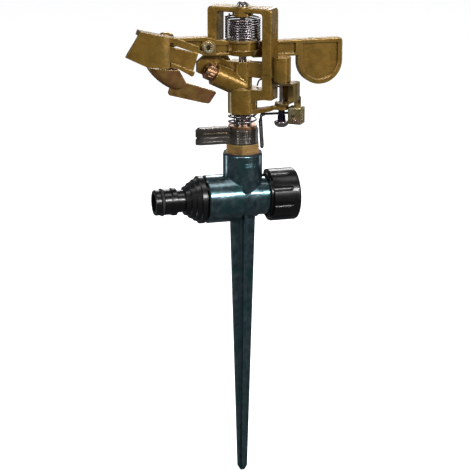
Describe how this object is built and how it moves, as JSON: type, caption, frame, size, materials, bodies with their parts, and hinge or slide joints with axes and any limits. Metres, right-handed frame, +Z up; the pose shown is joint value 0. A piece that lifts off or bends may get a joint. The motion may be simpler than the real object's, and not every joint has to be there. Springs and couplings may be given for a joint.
{
  "type": "impact sprinkler on ground spike",
  "caption": "Part-circle impact sprinkler: sprung hammer arm and spoon on a bridged head, trip and stop collars, cross pipe with hose nipple and screw cap, finned ground spike.",
  "frame": {"origin": "on the axis the head turns about, at the ground line where the spike meets the cross pipe housing", "axes": "+Z up along the spindle, +X along the cross pipe towards the screw cap with the hose nipple at -X, +Y behind when the nozzle points left; lengths in metres"},
  "size_m": [0.1373, 0.0447, 0.3068],
  "materials": {
    "zinc_spike": "glossy blue-green lacquer over cast zinc",
    "black_plastic": "glossy black",
    "seal_rubber": "matt",
    "nut_brass": "machined",
    "white_nylon": "matt",
    "copper_brass": "machined, coppery",
    "dark_chrome": "dark plated",
    "olive_gold": "satin olive-gold lacquer",
    "spindle_steel": "bright",
    "spring_steel": "bright wire",
    "eyelet_brass": "pale brass",
    "spoon_bronze": "polished",
    "sleeve_dark": "blued",
    "bracket_bronze": "satin olive-bronze lacquer",
    "zinc_yellow": "yellow zinc plate",
    "black_wire": "blackened wire"
  },
  "bodies": {
    "base": {"spike_base": "zinc_spike", "hose_nipple": "black_plastic", "nipple_o_ring": "seal_rubber", "nipple_gasket": "seal_rubber", "bearing_nut": "nut_brass", "nut_gasket": "seal_rubber", "thrust_washer_lower": "white_nylon", "seal_washer": "seal_rubber", "thrust_washer_upper": "white_nylon", "spring_washer": "copper_brass"},
    "lower_stop": {"lower_sector_stop": "dark_chrome"},
    "upper_stop": {"upper_sector_stop": "dark_chrome"},
    "head": {"head_body": "olive_gold", "spindle_tube": "spindle_steel", "bearing_spring": "spring_steel", "nozzle": "copper_brass", "fulcrum_pin": "spindle_steel", "arm_spacer": "spindle_steel", "arm_spring": "spring_steel", "trip_pin": "spindle_steel", "trip_sleeve": "sleeve_dark"},
    "arm": {"hammer_arm": "olive_gold", "arm_bushing": "spindle_steel", "arm_eyelet": "eyelet_brass", "drive_spoon": "spoon_bronze", "spoon_rivet": "spoon_bronze"},
    "trip": {"trip_bracket": "bracket_bronze", "trip_wire": "spring_steel", "clamp_block": "zinc_yellow", "clamp_screw": "zinc_yellow", "toggle_spring": "black_wire"},
    "cap_travel_body": {"cap_gasket": "seal_rubber"},
    "cap": {"end_cap": "black_plastic"}
  },
  "joints": [
    {"name": "head_turn", "type": "hinge", "parent": "base", "child": "head", "pos_m": [0, 0, 0.045], "axis": [0, 0, 1], "range_deg": [-110, 185]},
    {"name": "arm_swing", "type": "hinge", "parent": "head", "child": "arm", "pos_m": [0, 0, 0.1075], "axis": [0, 0, 1], "range_deg": [0, 90], "stiffness_Nm_per_rad": 0.032, "springref_deg": -14.32, "deforming": ["arm_spring"]},
    {"name": "trip_flip", "type": "hinge", "parent": "head", "child": "trip", "pos_m": [0.02009, -0.01627, 0.075], "axis": [0, 0, 1], "range_deg": [0, 26], "deforming": ["toggle_spring"]},
    {"name": "lower_stop_turn", "type": "hinge", "parent": "base", "child": "lower_stop", "pos_m": [0, 0, 0.0503], "axis": [0, 0, 1], "range_deg": [-185, 110]},
    {"name": "upper_stop_turn", "type": "hinge", "parent": "base", "child": "upper_stop", "pos_m": [0, 0, 0.055], "axis": [0, 0, 1], "range_deg": [-185, 110]},
    {"name": "cap_travel", "type": "slide", "parent": "base", "child": "cap_travel_body", "axis": [1, 0, 0], "range_m": [0, 0.01088]},
    {"name": "cap_turn", "type": "hinge", "parent": "cap_travel_body", "child": "cap", "pos_m": [0.025, 0, 0.013], "axis": [1, 0, 0], "range_deg": [0, 2165]}
  ],
  "couplings": [
    {"joint": "cap_turn", "follows": "cap_travel", "rad_per_m": 3463.7}
  ]
}
